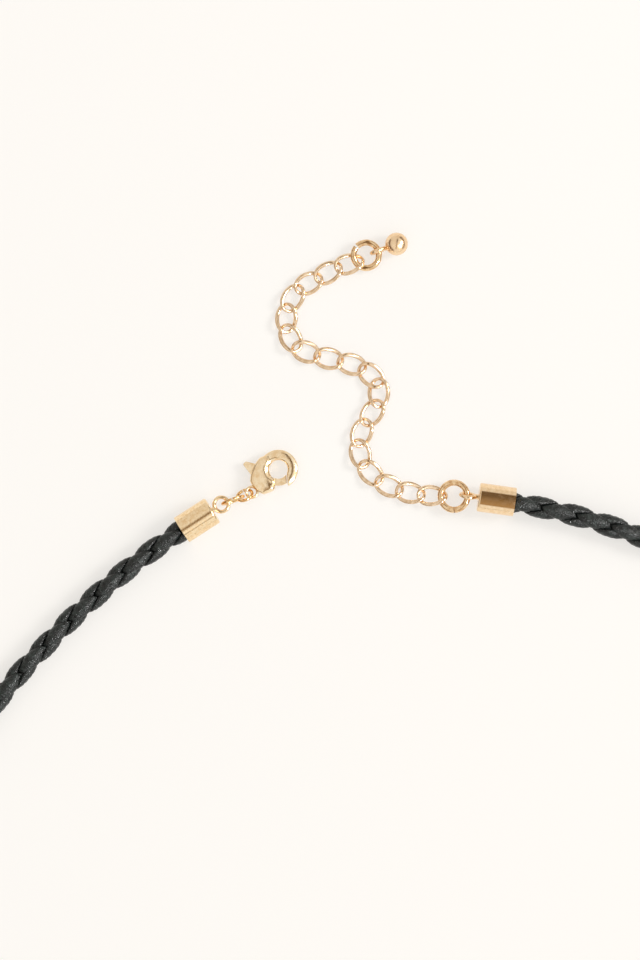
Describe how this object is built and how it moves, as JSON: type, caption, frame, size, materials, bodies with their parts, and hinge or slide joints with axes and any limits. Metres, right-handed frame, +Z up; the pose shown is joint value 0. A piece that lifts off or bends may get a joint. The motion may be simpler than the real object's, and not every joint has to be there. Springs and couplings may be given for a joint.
{
  "type": "bolo necklace",
  "caption": "Necklace of round braided leather cord with metal end caps, a lobster clasp and an extender chain that ends in a ball drop.",
  "frame": {"origin": "on the floor, in the middle of the box around the whole necklace as it lies open", "axes": "+Z up from the floor; +Y from the loop of cord towards the closure and the end of the chain; +X to the right seen from above"},
  "size_m": [0.2228, 0.2552, 0.005],
  "materials": {
    "leather": "charcoal leather laces with a fine grain, satin",
    "rose_gold": "rose gold plate, polished, with fine scratches",
    "pale_gold": "pale gold plate, polished"
  },
  "bodies": {
    "necklace": {"braided_cord": "leather", "end_cap_chain": "rose_gold", "chain_ring": "rose_gold", "link_01": "rose_gold", "link_02": "rose_gold", "link_03": "rose_gold", "link_04": "rose_gold", "link_05": "rose_gold", "link_06": "rose_gold", "link_07": "rose_gold", "link_08": "rose_gold", "link_09": "rose_gold", "link_10": "rose_gold", "link_11": "rose_gold", "link_12": "rose_gold", "link_13": "rose_gold", "link_14": "rose_gold", "link_15": "rose_gold", "link_16": "rose_gold", "link_17": "rose_gold", "link_18": "rose_gold", "end_ring": "rose_gold", "ball_drop": "rose_gold", "end_cap_clasp": "pale_gold", "jump_ring": "pale_gold", "clasp_ring": "pale_gold", "clasp_body": "pale_gold"},
    "clasp_lever": {"clasp_lever": "pale_gold"}
  },
  "joints": [
    {"name": "lever_open", "type": "hinge", "parent": "necklace", "child": "clasp_lever", "pos_m": [-0.03779, 0.08416, 0.00153], "axis": [-0.0795, 0.0924, 0.9925], "range_deg": [0, 22], "stiffness_Nm_per_rad": 0.0008, "springref_deg": -17.19}
  ]
}
